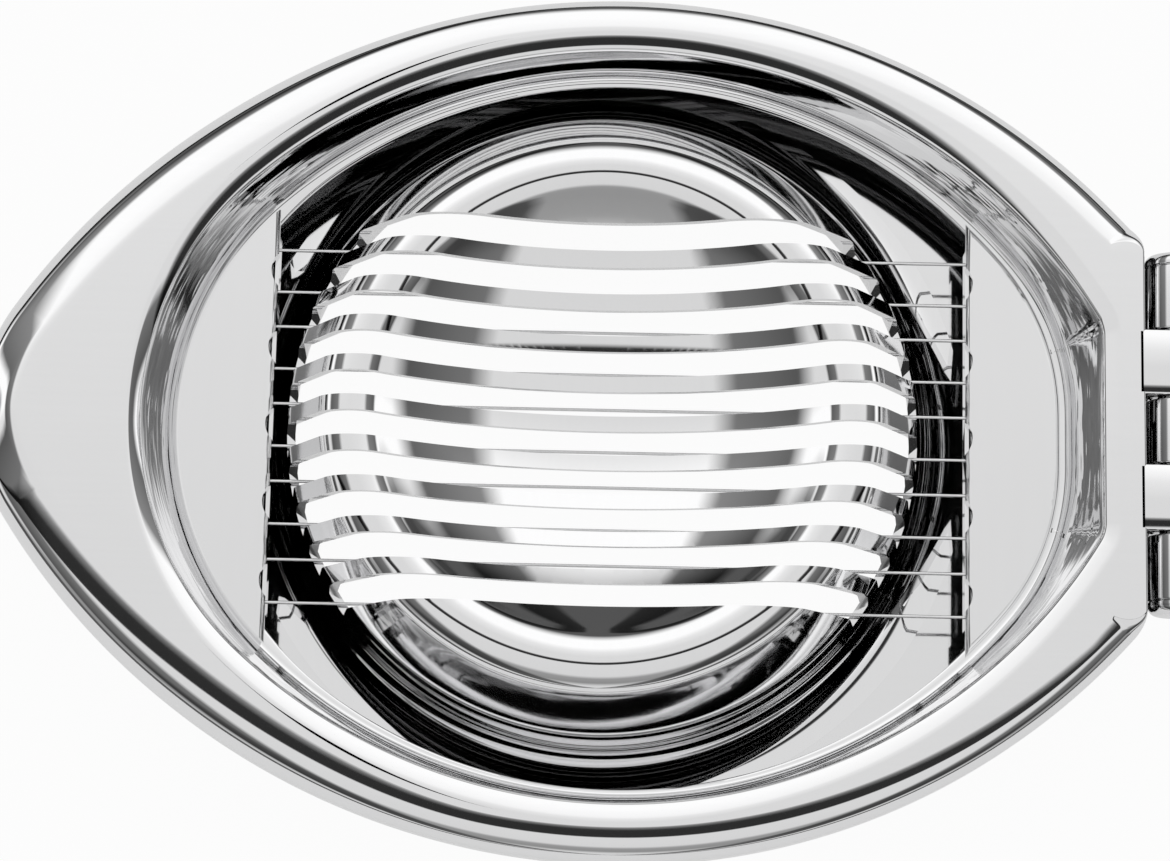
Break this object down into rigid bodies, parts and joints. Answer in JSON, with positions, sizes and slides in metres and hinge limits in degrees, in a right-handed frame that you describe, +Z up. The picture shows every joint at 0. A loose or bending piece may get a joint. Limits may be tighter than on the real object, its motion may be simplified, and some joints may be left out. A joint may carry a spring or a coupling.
{
  "type": "egg slicer",
  "caption": "Eye-shaped steel egg slicer: slotted round cradle in a low tray, with a hinged domed frame that carries taut cutting wires through the slots.",
  "frame": {"origin": "on the table, under the middle of the closed slicer's overall box", "axes": "+X towards the hinge, the frame's tip at -X; +Y across the wires; +Z up"},
  "size_m": [0.146, 0.104, 0.0254],
  "materials": {
    "base_steel": "mirror-polished stainless sheet with fine hairlines",
    "cradle_steel": "mirror-polished stainless sheet with slightly duller slot edges",
    "hinge_steel": "polished stainless sheet, rolled",
    "pin_steel": "polished stainless rod",
    "frame_steel": "mirror-polished stainless sheet with fine hairlines",
    "plate_steel": "polished stainless sheet, a little softer",
    "wire_steel": "drawn stainless wire"
  },
  "bodies": {
    "base": {"base_tray": "base_steel", "egg_cradle": "cradle_steel", "base_hinge_leaf": "hinge_steel", "hinge_pin": "pin_steel", "pin_cap_front": "pin_steel", "pin_cap_rear": "pin_steel"},
    "cutting_frame": {"frame_shell": "frame_steel", "wire_plate_left": "plate_steel", "wire_plate_right": "plate_steel", "wire_loop_1": "wire_steel", "wire_loop_2": "wire_steel", "wire_loop_3": "wire_steel", "wire_loop_4": "wire_steel", "wire_loop_5": "wire_steel"}
  },
  "joints": [
    {"name": "frame_hinge", "type": "hinge", "parent": "base", "child": "cutting_frame", "pos_m": [0.0695, 0, 0.0155], "axis": [0, 1, 0], "range_deg": [0, 100]}
  ]
}
